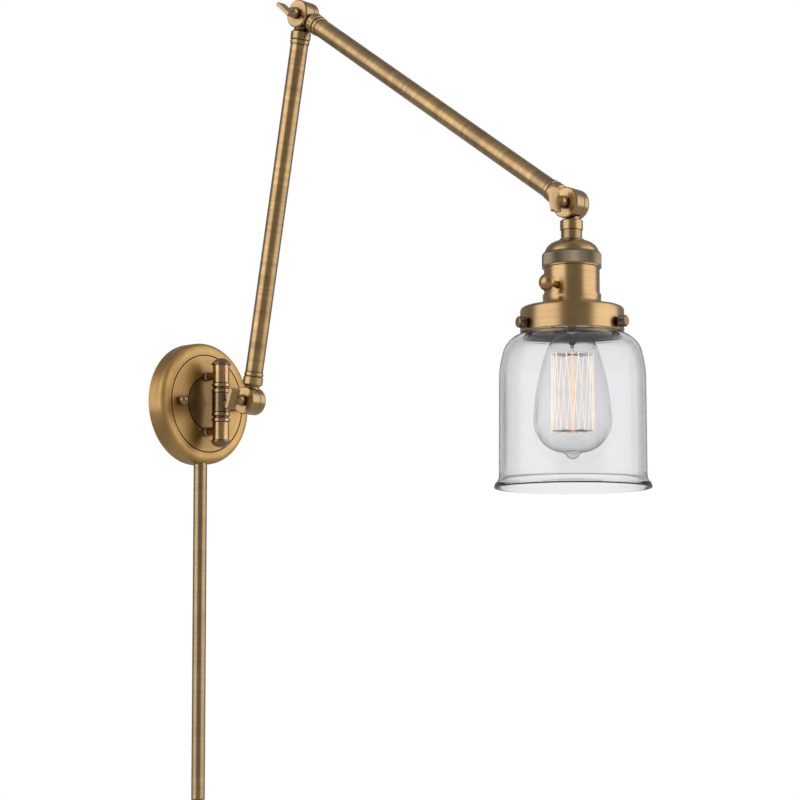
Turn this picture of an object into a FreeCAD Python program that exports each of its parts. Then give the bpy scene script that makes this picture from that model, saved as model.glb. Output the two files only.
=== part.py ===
import FreeCAD, Part
import math
import os
import Sketcher

# Wall sconce with two swing arms and a clear glass bell shade.
# Millimetres. The wall is the plane y = 0, the sconce stands out towards -y,
# z is up, and the origin is the centre of the canopy's seat on the wall.

os.makedirs("parts", exist_ok=True)
doc = FreeCAD.newDocument("sconce")
sheet = doc.addObject("Spreadsheet::Sheet", "Sizes")

DIMENSIONS = {
    # canopy on the wall
    "canopy_radius": 57.15,
    "canopy_depth": 19.05,
    "canopy_wall": 1.2,
    "canopy_round": 6.0,
    "outer_groove_radius": 45.7,
    "inner_groove_radius": 24.6,
    "groove_width": 1.2,
    "groove_depth": 0.7,
    "stud_spacing": 70.0,
    "stud_radius": 2.05,
    "stud_length": 21.0,
    "nut_seat_radius": 3.6,
    "nut_ball_rise": 7.85,
    "nut_seat_height": 1.6,
    "nut_bore_depth": 3.2,
    "bar_length": 98.0,
    "bar_width": 19.0,
    "bar_thickness": 2.0,
    "box_screw_spacing": 88.9,
    "box_slot_width": 4.6,
    "box_slot_length": 7.0,
    # straight tube that covers the lead below the canopy
    "cord_tube_radius": 6.35,
    "cord_tube_wall": 1.0,
    "cord_tube_from_wall": 10.2,
    "cord_tube_end": 368.7,
    "cord_tube_top": 44.0,
    # hinge post
    "post_from_wall": 37.3,
    "post_drop": 0.6,
    "pin_radius": 4.8,
    "pin_bore": 3.5,
    "barrel_radius": 7.8,
    "ring_radius": 8.7,
    "ring_height": 4.0,
    "swivel_radius": 8.35,
    "swivel_half_height": 12.7,
    "washer_thickness": 2.0,
    "washer_radius": 7.3,
    "barrel_length": 20.6,
    "cap_radius": 9.2,
    "cap_height": 6.8,
    "cap_flange": 2.0,
    "standoff_radius": 4.0,
    "standoff_rise": 26.0,
    "standoff_thread_radius": 2.9,
    # friction knuckles
    "knuckle_radius": 12.7,
    "knuckle_half_width": 9.5,
    "knuckle_seam": 1.0,
    "knuckle_gap": 0.3,
    "knuckle_clearance": 0.6,
    "knuckle_edge": 1.0,
    "screw_radius": 2.5,
    "screw_tail": 7.0,
    "running_gap": 0.08,
    "wing_hub_radius": 3.9,
    "wing_hub_bulge": 8.0,
    "wing_hub_length": 8.8,
    "wing_height": 20.0,
    "wing_length": 10.6,
    "wing_thickness": 3.2,
    "recess_radius": 5.6,
    "recess_depth": 1.4,
    "shoulder_neck_radius": 6.6,
    "shoulder_neck_foot_radius": 3.7,
    "shoulder_neck_straight": 14.0,
    # where the knuckles stand in the pictured pose
    "shoulder_from_wall": 75.7,
    "shoulder_height": -1.9,
    "elbow_from_wall": 142.0,
    "elbow_height": 348.6,
    "lamp_from_wall": 445.1,
    "lamp_pivot_height": 132.3,
    # arms
    "tube_radius": 8.25,
    "tube_wall": 1.0,
    "stub_neck_radius": 7.0,
    "collar_radius": 9.25,
    "collar_start": 15.6,
    "collar_end": 22.5,
    "socket_start": 16.4,
    "ferrule_start": 23.2,
    "ferrule_length": 3.6,
    "ferrule_radius": 8.95,
    "fit_gap": 0.05,
    "lead_radius": 1.15,
    "lead_start": 14.2,
    # lamp holder, measured down from the lamp pivot
    "lamp_stub_radius": 9.4,
    "lamp_stub_end": 21.9,
    "bushing_radius": 8.65,
    "bushing_end": 28.9,
    "bushing_lip_radius": 10.0,
    "bushing_lip_end": 30.3,
    "nipple_radius": 4.8,
    "holder_cap_radius": 22.3,
    "holder_cap_end": 52.0,
    "holder_cap_wall": 0.8,
    "knurl_radius": 24.35,
    "knurl_start": 40.7,
    "knurl_end": 53.3,
    "shell_radius": 22.7,
    "shell_wall": 0.6,
    "shell_end": 77.6,
    "liner_radius": 20.6,
    "liner_wall": 0.7,
    "core_radius": 20.0,
    "core_start": 46.5,
    "core_end": 66.0,
    "knob_drop": 69.8,
    "knob_stem_radius": 2.7,
    "knob_ball_radius": 7.1,
    "knob_reach": 38.7,
    # shade holder and glass
    "gallery_radius": 42.35,
    "gallery_wall": 1.0,
    "gallery_neck_radius": 22.9,
    "gallery_flare_radius": 27.2,
    "gallery_flare_end": 85.5,
    "gallery_round": 3.6,
    "gallery_end": 106.7,
    "shade_screw_drop": 100.6,
    "shade_screw_reach": 50.7,
    "shade_screw_head_radius": 4.7,
    "shade_screw_head_length": 6.7,
    "shade_screw_radius": 2.0,
    "glass_wall": 2.5,
    "glass_neck_radius": 38.4,
    "glass_bead_radius": 40.4,
    "glass_radius": 59.7,
    "glass_widest": 145.7,
    "glass_rim_radius": 64.1,
    "glass_end": 233.4,
    # lamp bulb
    "bulb_cap_radius": 13.05,
    "bulb_cap_start": 67.3,
    "bulb_cap_end": 92.0,
    "bulb_neck_radius": 14.2,
    "bulb_radius": 32.0,
    "bulb_widest": 178.9,
    "bulb_end": 206.0,
    "bulb_wall": 0.8,
    "filament_top": 124.5,
    "filament_end": 186.7,
    "filament_top_radius": 17.0,
    "filament_end_radius": 17.6,
    "filament_wire": 0.35,
    "filament_bends": 22,
    "hook_wire": 0.25,
    "bulb_stem_radius": 1.4,
}

for row, (name, number) in enumerate(DIMENSIONS.items(), start=1):
    sheet.set("A%d" % row, name)
    sheet.set("B%d" % row, repr(number))
    sheet.setAlias("B%d" % row, name)
doc.recompute()


class Length:
    """A number together with the sheet expression that gives it."""

    def __init__(self, value, text):
        self.value = value
        self.text = text

    def __add__(self, other):
        other = length(other)
        return Length(self.value + other.value, "(%s + %s)" % (self.text, other.text))

    def __sub__(self, other):
        other = length(other)
        return Length(self.value - other.value, "(%s - %s)" % (self.text, other.text))

    def __mul__(self, factor):
        return Length(self.value * factor, "(%s * %r)" % (self.text, factor))

    def __radd__(self, other):
        return length(other) + self

    def __rsub__(self, other):
        return length(other) - self


def length(item):
    if isinstance(item, Length):
        return item
    return Length(float(item), repr(float(item)))


def dome(width, rise):
    """Radius of the arc that is centred on the axis, from its half width and rise."""
    width, rise = length(width), length(rise)
    value = (width.value ** 2 + rise.value ** 2) / (2 * rise.value)
    text = "((%s ^ 2 + %s ^ 2) / (2 * %s))" % (width.text, rise.text, rise.text)
    return Length(value, text)


def size(name):
    return Length(float(sheet.get(name)), "Sizes." + name)


def number(name):
    return float(sheet.get(name))


def vector(x, y, z):
    return FreeCAD.Vector(x, y, z)


def turn(axis, degrees):
    return FreeCAD.Rotation(axis, degrees)


AXIS_X = vector(1, 0, 0)
AXIS_Y = vector(0, 1, 0)
AXIS_Z = vector(0, 0, 1)
NO_TURN = FreeCAD.Rotation()
OUT_OF_WALL = turn(AXIS_X, 90)      # local z points out of the wall, local y up
ALONG_KNUCKLE = turn(AXIS_Y, -90)   # local z points to the wing-screw side (-x)
DOWN = turn(AXIS_X, 180)            # local z points down


def at(position, rotation=NO_TURN):
    return FreeCAD.Placement(position, rotation)


# ---------------------------------------------------------------- helpers

def bind(item, field, wanted):
    wanted = length(wanted)
    setattr(item, field, wanted.value)
    item.setExpression(field, wanted.text)


def arc_centre(begin, end, radius, side):
    """Centre of the arc from begin to end; side +1 bulges to the left of travel."""
    along = end - begin
    half = along.Length / 2
    left = vector(-along.y, along.x, 0).normalize()
    return begin + along * 0.5 - left * side * math.sqrt(max(radius ** 2 - half ** 2, 0.0))


def draw_outline(sketch, corners):
    """Closed outline. A corner is (x, y), or (x, y, radius, side) when an arc arrives there."""
    spots = [vector(length(c[0]).value, length(c[1]).value, 0) for c in corners]
    ends = []
    for index, corner in enumerate(corners):
        begin, end = spots[index - 1], spots[index]
        if len(corner) == 2:
            sketch.addGeometry(Part.LineSegment(begin, end), False)
            ends.append((1, 2))
            continue
        centre = arc_centre(begin, end, length(corner[2]).value, corner[3])
        first, last = (end, begin) if corner[3] > 0 else (begin, end)
        start_angle = math.atan2(first.y - centre.y, first.x - centre.x)
        end_angle = math.atan2(last.y - centre.y, last.x - centre.x)
        circle = Part.Circle(centre, vector(0, 0, 1), (end - centre).Length)
        sketch.addGeometry(Part.ArcOfCircle(circle, start_angle, end_angle), False)
        ends.append((2, 1) if corner[3] > 0 else (1, 2))
    count = len(corners)
    for index, corner in enumerate(corners):
        after = (index + 1) % count
        leave, arrive = ends[index][1], ends[after][0]
        sketch.addConstraint(Sketcher.Constraint("Coincident", index, leave, after, arrive))
        for kind, axis, wanted in (("DistanceX", -2, corner[0]), ("DistanceY", -1, corner[1])):
            wanted = length(wanted)
            if abs(wanted.value) < 1e-9:
                sketch.addConstraint(Sketcher.Constraint("PointOnObject", index, leave, axis))
                continue
            made = sketch.addConstraint(
                Sketcher.Constraint(kind, -1, 1, index, leave, wanted.value))
            sketch.setExpression("Constraints[%d]" % made, wanted.text)
        if len(corner) == 4:
            wanted = length(corner[2])
            made = sketch.addConstraint(Sketcher.Constraint("Radius", index, wanted.value))
            sketch.setExpression("Constraints[%d]" % made, wanted.text)


def origin_plane(body, role):
    for feature in body.Origin.OriginFeatures:
        if feature.Role == role:
            return feature
    raise ValueError(role)


def sketch_on(body, role, corners):
    sketch = body.newObject("Sketcher::SketchObject", "Outline")
    sketch.AttachmentSupport = [(origin_plane(body, role), "")]
    sketch.MapMode = "FlatFace"
    draw_outline(sketch, corners)
    return sketch


def turned(label, corners, placement=at(vector(0, 0, 0))):
    """A lathe-turned body: the outline gives radius and height, z is its axis."""
    body = doc.addObject("PartDesign::Body", label)
    sketch = sketch_on(body, "XZ_Plane", corners)
    revolution = body.newObject("PartDesign::Revolution", "Turning")
    revolution.Profile = sketch
    revolution.ReferenceAxis = (sketch, ["V_Axis"])
    revolution.Angle = 360.0
    body.Tip = revolution
    body.Placement = placement
    body.Label = label
    return body


def padded(label, corners, thickness, placement=at(vector(0, 0, 0)), role="XZ_Plane"):
    """A flat outline given an even thickness on both sides of its plane."""
    body = doc.addObject("PartDesign::Body", label)
    sketch = sketch_on(body, role, corners)
    pad = body.newObject("PartDesign::Pad", "Plate")
    pad.Profile = sketch
    pad.Midplane = True
    bind(pad, "Length", thickness)
    body.Tip = pad
    body.Placement = placement
    body.Label = label
    return body


def rod(radius, height, placement, label="Rod"):
    item = doc.addObject("Part::Cylinder", label)
    bind(item, "Radius", radius)
    bind(item, "Height", height)
    item.Placement = placement
    item.Label = label
    return item


def block(long, wide, high, placement, label="Block"):
    item = doc.addObject("Part::Box", label)
    bind(item, "Length", long)
    bind(item, "Width", wide)
    bind(item, "Height", high)
    item.Placement = placement
    item.Label = label
    return item


def joined(label, pieces):
    item = doc.addObject("Part::MultiFuse", label)
    item.Shapes = pieces
    item.Label = label
    return item


def cut_from(label, base, tools):
    item = doc.addObject("Part::Cut", label)
    item.Base = base
    item.Tool = tools[0] if len(tools) == 1 else joined(label + "_tools", tools)
    item.Label = label
    return item


def grouped(label, pieces):
    """Separate identical pieces kept together as one node."""
    item = doc.addObject("Part::Compound", label)
    item.Links = pieces
    item.Label = label
    return item


def ring_outline(inner, outer, low, high, bevel=0.4):
    """Tube section with bevelled outer edges."""
    inner, outer, low, high = length(inner), length(outer), length(low), length(high)
    return [
        (inner, low), (outer - bevel, low), (outer, low + bevel),
        (outer, high - bevel), (outer - bevel, high), (inner, high),
    ]


# ---------------------------------------------------------------- wall canopy

POST = vector(0, -number("post_from_wall"), -number("post_drop"))
SHOULDER = vector(0, -number("shoulder_from_wall"), number("shoulder_height"))
ELBOW = vector(0, -number("elbow_from_wall"), number("elbow_height"))
LAMP = vector(0, -number("lamp_from_wall"), number("lamp_pivot_height"))


def rotation_towards(direction):
    """Turn about the knuckle axis (x) that points local z along the direction."""
    return turn(AXIS_X, math.degrees(math.atan2(-direction.y, direction.z)))


def canopy():
    radius, depth, wall = size("canopy_radius"), size("canopy_depth"), size("canopy_wall")
    edge, half, deep = size("canopy_round"), size("groove_width") * 0.5, size("groove_depth")
    inner, outer = size("inner_groove_radius"), size("outer_groove_radius")
    corners = [
        (0, depth - wall), (radius - edge, depth - wall),
        (radius - wall, depth - edge, edge - wall, 1), (radius - wall, 0), (radius, 0),
        (radius, depth - edge), (radius - edge, depth, edge, -1),
        (outer + half, depth), (outer + half, depth - deep),
        (outer - half, depth - deep), (outer - half, depth),
        (inner + half, depth), (inner + half, depth - deep),
        (inner - half, depth - deep), (inner - half, depth), (0, depth),
    ]
    cup = turned("canopy_cup", corners, at(vector(0, 0, 0), OUT_OF_WALL))
    face = -number("canopy_depth") + 5
    tools = []
    for side in (-1, 1):
        place = at(vector(side * number("stud_spacing") / 2, face, 0), OUT_OF_WALL)
        tools.append(rod(size("stud_radius") + 0.2, 10, place))
        height = side * number("standoff_rise") - number("post_drop")
        place = at(vector(0, face, height), OUT_OF_WALL)
        tools.append(rod(size("standoff_thread_radius") + 0.1, 10, place))
    place = at(vector(0, -number("cord_tube_from_wall"), -number("cord_tube_top")), DOWN)
    tools.append(rod(size("cord_tube_radius") + size("fit_gap"), 20, place))
    return cut_from("canopy", cup, tools)


def mounting_bar():
    long, wide, thick = size("bar_length"), size("bar_width"), size("bar_thickness")
    corner = vector(-long.value / 2, -thick.value, -wide.value / 2)
    plate = block(long, thick, wide, at(corner), "bar_plate")
    tools = []
    for side in (-1, 1):
        place = at(vector(side * number("stud_spacing") / 2, 1, 0), OUT_OF_WALL)
        tools.append(rod(size("stud_radius") + size("fit_gap"), 5, place))
        middle = side * number("box_screw_spacing") / 2
        width = size("box_slot_width")
        straight = size("box_slot_length") - width
        corner = vector(middle - straight.value / 2, -3, -width.value / 2)
        tools.append(block(straight, 5, width, at(corner)))
        for end in (-0.5, 0.5):
            spot = vector(middle + end * straight.value, 1, 0)
            tools.append(rod(width * 0.5, 5, at(spot, OUT_OF_WALL)))
    tools.append(rod(1.8, 5, at(vector(18, 1, 0), OUT_OF_WALL)))
    return cut_from("mounting_bar", plate, tools)


def canopy_studs():
    studs = []
    for side in (-1, 1):
        spot = vector(side * number("stud_spacing") / 2, -0.4, 0)
        studs.append(rod(size("stud_radius"), size("stud_length"), at(spot, OUT_OF_WALL)))
    return grouped("canopy_studs", studs)


def ball_nuts():
    seat, foot = size("nut_seat_radius"), size("nut_seat_height")
    bore = size("stud_radius") + size("fit_gap")
    rise = size("nut_ball_rise")
    corners = [
        (bore, 0), (seat, 0), (seat, foot), (0, foot + rise, dome(seat, rise), -1),
        (0, size("nut_bore_depth")), (bore, size("nut_bore_depth")),
    ]
    nuts = []
    for side in (-1, 1):
        spot = vector(side * number("stud_spacing") / 2, -number("canopy_depth"), 0)
        name = "ball_nut_left" if side < 0 else "ball_nut_right"
        nuts.append(turned(name, corners, at(spot, OUT_OF_WALL)))
    return grouped("ball_nuts", nuts)


def ground_screw():
    corners = [
        (0, 0.2), (1.75, 0.2), (1.75, 2.05), (3.6, 2.05), (3.6, 3.6), (3.0, 4.2), (0, 4.2),
    ]
    return turned("ground_screw", corners, at(vector(18, 0, 0), OUT_OF_WALL))


def standoffs():
    start = size("canopy_depth")
    reach, thread = size("standoff_radius"), size("standoff_thread_radius")
    long = size("post_from_wall")
    corners = [
        (1.6, start - 7.0), (thread, start - 7.0), (thread, start), (reach + 0.8, start),
        (reach + 0.8, start + 1.0), (reach, start + 1.8), (reach, long), (1.6, long),
    ]
    pieces = []
    for side in (-1, 1):
        height = side * number("standoff_rise") - number("post_drop")
        spot = vector(0, 0, height)
        name = "standoff_blank_low" if side < 0 else "standoff_blank_high"
        blank = turned(name, corners, at(spot, OUT_OF_WALL))
        saddle = rod(size("barrel_radius") + size("fit_gap"), 20,
                     at(vector(0, POST.y, height - 10)))
        name = "standoff_low" if side < 0 else "standoff_high"
        pieces.append(cut_from(name, blank, [saddle]))
    return grouped("standoffs", pieces)


def standoff_nuts():
    nuts = []
    for side in (-1, 1):
        height = side * number("standoff_rise") - number("post_drop")
        hexagon = doc.addObject("Part::Prism", "Hexagon")
        hexagon.Polygon = 6
        bind(hexagon, "Circumradius", size("standoff_thread_radius") * 1.9)
        bind(hexagon, "Height", 2.6)
        inside = -(number("canopy_depth") - number("canopy_wall") - 2.65)
        hexagon.Placement = at(vector(0, inside, height), OUT_OF_WALL)
        hole = rod(size("standoff_thread_radius") + size("fit_gap"), 6,
                   at(vector(0, inside + 1, height), OUT_OF_WALL))
        name = "standoff_nut_low" if side < 0 else "standoff_nut_high"
        nuts.append(cut_from(name, hexagon, [hole]))
    return grouped("standoff_nuts", nuts)


# ---------------------------------------------------------------- hinge post

def barrel(label, rotation):
    """Fixed barrel of the post with one raised ring at the swivel's side."""
    start = size("swivel_half_height") + size("washer_thickness")
    end = start + size("barrel_length")
    bore = size("pin_radius") + size("fit_gap")
    ring, plain, high = size("ring_radius"), size("barrel_radius"), size("ring_height")
    corners = [
        (bore, start), (ring - 0.5, start), (ring, start + 0.5),
        (ring, start + high - 1.2), (ring - 0.4, start + high - 0.8),
        (plain - 0.3, start + high - 0.8), (plain - 0.3, start + high - 0.3),
        (plain, start + high), (plain, end), (bore, end),
    ]
    body = turned(label + "_turning", corners, at(POST, rotation))
    side = -1 if rotation is DOWN else 1
    height = POST.z + side * number("standoff_rise")
    lead_hole = rod(1.6, 10, at(vector(0, POST.y + 12, height), OUT_OF_WALL))
    return cut_from(label, body, [lead_hole])


def post_caps():
    """Domed caps screwed on both ends of the pin."""
    start = size("swivel_half_height") + size("washer_thickness") + size("barrel_length")
    reach, flange = size("cap_radius"), size("cap_flange")
    bore = size("pin_radius") + size("fit_gap")
    top = start + size("cap_height")
    corners = [
        (bore, start + 0.02), (reach - 0.6, start + 0.02), (reach, start + 0.6),
        (reach, start + flange - 0.5), (reach - 0.6, start + flange),
        (0, top, dome(reach - 0.6, top - start - flange), -1),
        (0, start + 3.4), (bore, start + 3.4),
    ]
    high = turned("post_cap_high", corners, at(POST))
    low = turned("post_cap_low", corners, at(POST, DOWN))
    return grouped("post_caps", [high, low])


def hinge_pin():
    """Hollow threaded rod that carries the barrels; the lead runs through it."""
    reach = size("swivel_half_height") + size("washer_thickness") + size("barrel_length") + 3.0
    bottom = vector(0, POST.y, POST.z - reach.value)
    outer = rod(size("pin_radius"), reach * 2, at(bottom), "pin_rod")
    tools = [rod(size("pin_bore"), reach * 2 + 2, at(bottom - vector(0, 0, 1)))]
    for side in (-1, 1):
        height = POST.z + side * number("standoff_rise")
        tools.append(rod(1.6, 8, at(vector(0, POST.y + 8, height), OUT_OF_WALL)))
    tools.append(rod(2.4, 8, at(vector(0, POST.y, POST.z), OUT_OF_WALL)))
    return cut_from("hinge_pin", outer, tools)


def post_washers():
    start, thick = size("swivel_half_height"), size("washer_thickness")
    bore = size("pin_radius") + size("fit_gap")
    corners = ring_outline(bore, size("washer_radius"), start + 0.06, start + thick - 0.02, 0.3)
    high = turned("post_washer_high", corners, at(POST))
    low = turned("post_washer_low", corners, at(POST, DOWN))
    return grouped("post_washers", [high, low])


def swivel_barrel():
    """Turning barrel between the fixed ones, with a raised ring at each end."""
    half, ring, plain = size("swivel_half_height"), size("ring_radius"), size("swivel_radius")
    bore = size("pin_radius") + size("running_gap")
    high = size("ring_height")
    double = half * 2
    corners = [
        (bore, 0), (ring - 0.5, 0), (ring, 0.5), (ring, high - 0.9), (plain - 0.3, high - 0.6),
        (plain - 0.3, high - 0.2), (plain, high), (plain, double - high),
        (plain - 0.3, double - high + 0.2), (plain - 0.3, double - high + 0.6),
        (ring, double - high + 0.9), (ring, double - 0.5), (ring - 0.5, double), (bore, double),
    ]
    foot = POST - vector(0, 0, number("swivel_half_height"))
    body = turned("swivel_turning", corners, at(foot))
    hole = rod(2.4, 14, at(vector(0, POST.y, SHOULDER.z), OUT_OF_WALL))
    return cut_from("swivel_barrel", body, [hole])


# ---------------------------------------------------------------- knuckles

def knuckle_disc(label, near, pivot):
    """Round half of a knuckle, its axis along x, with an eased outer edge."""
    reach, half, edge = size("knuckle_radius"), size("knuckle_half_width"), size("knuckle_edge")
    if near:
        start = size("knuckle_seam") * -1
        corners = [
            (0, start), (reach - 0.3, start), (reach, start + 0.3), (reach, half - edge),
            (reach - edge, half), (0, half),
        ]
        return turned(label, corners, at(pivot, ALONG_KNUCKLE))
    start = size("knuckle_seam") + size("knuckle_gap")
    corners = [
        (0, start), (reach - 0.3, start), (reach, start + 0.3), (reach, half - edge * 3),
        (reach - edge * 3, half, edge * 3, -1), (0, half),
    ]
    return turned(label, corners, at(pivot, turn(AXIS_Y, 90)))


def knuckle_half(label, near, pivot, stub, lead_start):
    """Disc half and its stub, cut clear of the other half, bored for the wing screw."""
    disc = knuckle_disc(label + "_disc", near, pivot)
    blank = joined(label + "_blank", [disc, stub])
    seam, gap = number("knuckle_seam"), number("knuckle_gap")
    room = size("knuckle_radius") + size("knuckle_clearance")
    if near:
        other = rod(room, 20, at(pivot + vector(seam, 0, 0), turn(AXIS_Y, 90)))
        floor = number("knuckle_half_width") - number("recess_depth")
        recess = rod(size("recess_radius"), 5, at(pivot - vector(floor, 0, 0), ALONG_KNUCKLE))
    else:
        other = rod(room, 20, at(pivot + vector(seam + gap, 0, 0), ALONG_KNUCKLE))
    bore = rod(size("screw_radius") + size("running_gap"), 40,
               at(pivot + vector(20, 0, 0), ALONG_KNUCKLE))
    tools = [other, bore, recess] if near else [other, bore]
    if lead_start is not None:
        tools.append(lead_start)
    return cut_from(label, blank, tools)


def arm_stub(label, pivot, rotation):
    """Waisted stub with a collar that takes the arm tube in a socket."""
    neck, collar = size("stub_neck_radius"), size("collar_radius")
    start, end = size("collar_start"), size("collar_end")
    socket = size("tube_radius") + size("fit_gap")
    corners = [
        (0, 0), (neck, 0), (neck, start - 2.2), (collar - 0.6, start - 0.4, 3.0, 1),
        (collar, start + 0.4), (collar, end - 0.4), (collar - 0.4, end), (socket, end),
        (socket, size("socket_start")), (0, size("socket_start")),
    ]
    return turned(label, corners, at(pivot, rotation))


def arm_lead_hole(pivot, rotation):
    return rod(3.0, 12.0, at(pivot + rotation.multVec(vector(0, 0, 5.5)), rotation))


def shoulder_knuckle():
    """Near half of the first knuckle on a tapered neck from the swivel barrel."""
    back = turn(AXIS_X, -90)
    far = size("shoulder_from_wall") - size("post_from_wall") - 4.0
    reach, foot = size("shoulder_neck_radius"), size("shoulder_neck_foot_radius")
    straight = size("shoulder_neck_straight")
    corners = [(0, 0), (reach, 0), (reach, straight), (foot, far - 1.5), (foot, far), (0, far)]
    neck = turned("shoulder_neck", corners, at(SHOULDER, back))
    saddle = rod(size("swivel_radius") + 0.03, 30, at(vector(0, POST.y, SHOULDER.z - 15)))
    solid_neck = cut_from("shoulder_neck_cut", neck, [saddle])
    lead = rod(2.0, 30, at(SHOULDER + vector(0, 8, 0), back))
    return knuckle_half("shoulder_knuckle", True, SHOULDER, solid_neck, lead)


def arm(prefix, begin, end):
    """Tube arm between two knuckles: far half at its start, near half at its end."""
    along = end - begin
    forward = rotation_towards(along)
    backward = rotation_towards(along * -1)
    pieces = []
    first = prefix + "_start_knuckle"
    stub = arm_stub(first + "_stub", begin, forward)
    pieces.append(knuckle_half(first, False, begin, stub, arm_lead_hole(begin, forward)))
    last = prefix + "_end_knuckle"
    stub = arm_stub(last + "_stub", end, backward)
    pieces.append(knuckle_half(last, True, end, stub, arm_lead_hole(end, backward)))

    socket = number("socket_start") + 0.2
    long = along.Length - 2 * socket
    reach, wall = size("tube_radius"), size("tube_wall")
    corners = [(reach - wall, 0), (reach, 0), (reach, long), (reach - wall, long)]
    start = begin + forward.multVec(vector(0, 0, socket))
    pieces.append(turned(prefix + "_tube", corners, at(start, forward)))

    ring, high = size("ferrule_radius"), size("ferrule_length")
    bore, low = size("tube_radius") + size("fit_gap"), size("ferrule_start")
    corners = [
        (bore, low), (ring - 0.5, low), (ring, low + 0.8, 0.9, -1), (ring, low + high - 1.2),
        (ring - 0.5, low + high - 0.5, 0.9, -1), (ring - 0.5, low + high), (bore, low + high),
    ]
    rings = [
        turned(prefix + "_ferrule_start", corners, at(begin, forward)),
        turned(prefix + "_ferrule_end", corners, at(end, backward)),
    ]
    pieces.append(grouped(prefix + "_ferrules", rings))

    leads = []
    for side in (-1, 1):
        spot = vector(side * (number("lead_radius") + 0.1), 0, number("lead_start"))
        foot = begin + forward.multVec(spot)
        inside = along.Length - 2 * number("lead_start")
        leads.append(rod(size("lead_radius"), inside, at(foot, forward)))
    pieces.append(grouped(prefix + "_leads", leads))
    return pieces


def wing_screw(label, pivot, tilt):
    """Spade-headed clamping screw; the head stands on the near side of the knuckle."""
    reach, hub = size("screw_radius"), size("wing_hub_radius")
    tail = number("screw_tail")
    start = size("knuckle_half_width") - size("recess_depth") + 0.1 + tail
    end = start + size("recess_depth") + size("wing_hub_length")
    corners = [
        (0, 0), (reach - 0.4, 0), (reach, 0.4), (reach, start), (hub, start),
        (hub - 0.4, end - 1.2, size("wing_hub_bulge"), -1), (0, end, dome(hub - 0.4, 1.2), -1),
    ]
    shaft = turned(label + "_shaft", corners, at(pivot + vector(tail, 0, 0), ALONG_KNUCKLE))
    half, foot = size("wing_height") * 0.5, end - 1.0
    top = foot + size("wing_length")
    plate = [
        (half - 1.0, foot), (half, foot + 1.0, 1.0, -1), (half, top - 1.4),
        (half - 1.4, top, 1.4, -1), (half * -1 + 1.4, top), (half * -1, top - 1.4, 1.4, -1),
        (half * -1, foot + 1.0), (half * -1 + 1.0, foot, 1.0, -1),
    ]
    turned_about = turn(AXIS_X, tilt) * ALONG_KNUCKLE
    blade = padded(label + "_blade", plate, size("wing_thickness"),
                   at(pivot + vector(tail, 0, 0), turned_about))
    return joined(label, [shaft, blade])


# ---------------------------------------------------------------- lead cover tube

def cord_tube():
    reach, wall = size("cord_tube_radius"), size("cord_tube_wall")
    top, end = size("cord_tube_top"), size("cord_tube_end")
    corners = [(reach - wall, top), (reach, top), (reach, end), (reach - wall, end)]
    spot = vector(0, -number("cord_tube_from_wall"), 0)
    return turned("cord_tube", corners, at(spot, DOWN))


def cord_tube_collar():
    """Collar that clamps the tube inside the canopy's rim."""
    reach = size("cord_tube_radius")
    top = size("cord_tube_top") + 1.0
    corners = ring_outline(reach + size("fit_gap"), reach + 1.1, top, top + 3.4, 0.3)
    spot = vector(0, -number("cord_tube_from_wall"), 0)
    return turned("cord_tube_collar", corners, at(spot, DOWN))


def cord_tube_bushing():
    """Smooth lining of the tube's lower mouth."""
    reach = size("cord_tube_radius") - size("cord_tube_wall") - size("fit_gap")
    end = size("cord_tube_end")
    lip = size("cord_tube_radius")
    corners = [
        (reach - 0.8, end - 6.0), (reach, end - 6.0), (reach, end + 0.02), (lip, end + 0.02),
        (lip, end + 0.7), (lip - 0.5, end + 1.2), (reach - 0.8, end + 1.2),
    ]
    spot = vector(0, -number("cord_tube_from_wall"), 0)
    return turned("cord_tube_bushing", corners, at(spot, DOWN))


def wire_connectors():
    """Twist-on connectors that join the leads inside the canopy."""
    corners = [(0, 0), (4.2, 0), (4.2, 3.0), (3.4, 13.0), (2.4, 14.0), (0, 14.0)]
    pieces = []
    for index, (x, z) in enumerate(((-30.0, 22.0), (-17.0, 26.0))):
        name = "wire_connector_%d" % (index + 1)
        pieces.append(turned(name, corners, at(vector(x, -9.0, z))))
    return grouped("wire_connectors", pieces)


# ---------------------------------------------------------------- lamp holder

HEAD = at(LAMP, DOWN)


def lamp_knuckle():
    stub_reach, end = size("lamp_stub_radius"), size("lamp_stub_end")
    neck, start = size("stub_neck_radius"), size("collar_start")
    bore = size("nipple_radius") + size("fit_gap")
    corners = [
        (0, 0), (neck, 0), (neck, start - 2.2), (stub_reach - 0.8, start - 2.0),
        (stub_reach, start - 1.2), (stub_reach, end - 0.3), (stub_reach - 0.3, end),
        (bore, end), (bore, end - 6.0), (0, end - 6.0),
    ]
    stub = turned("lamp_knuckle_stub", corners, HEAD)
    lead = rod(3.0, 12.0, at(LAMP - vector(0, 0, 5.5), DOWN))
    return knuckle_half("lamp_knuckle", False, LAMP, stub, lead)


def holder_bushing():
    reach, end = size("bushing_radius"), size("bushing_end")
    lip, lip_end, top = size("bushing_lip_radius"), size("bushing_lip_end"), size("lamp_stub_end")
    bore = size("nipple_radius") + size("fit_gap")
    corners = [
        (bore, top + 0.02), (reach - 0.2, top + 0.02), (reach, top + 0.3), (reach, end),
        (lip - 0.5, end + 0.1), (lip, end + 0.6), (lip, lip_end - 0.3), (lip - 0.3, lip_end),
        (bore, lip_end),
    ]
    return turned("holder_bushing", corners, HEAD)


def threaded_nipple():
    start, end = size("lamp_stub_end") - 5.8, size("bushing_lip_end") + 6.0
    corners = [
        (3.4, start), (size("nipple_radius"), start), (size("nipple_radius"), end), (3.4, end),
    ]
    return turned("threaded_nipple", corners, HEAD)


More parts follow.
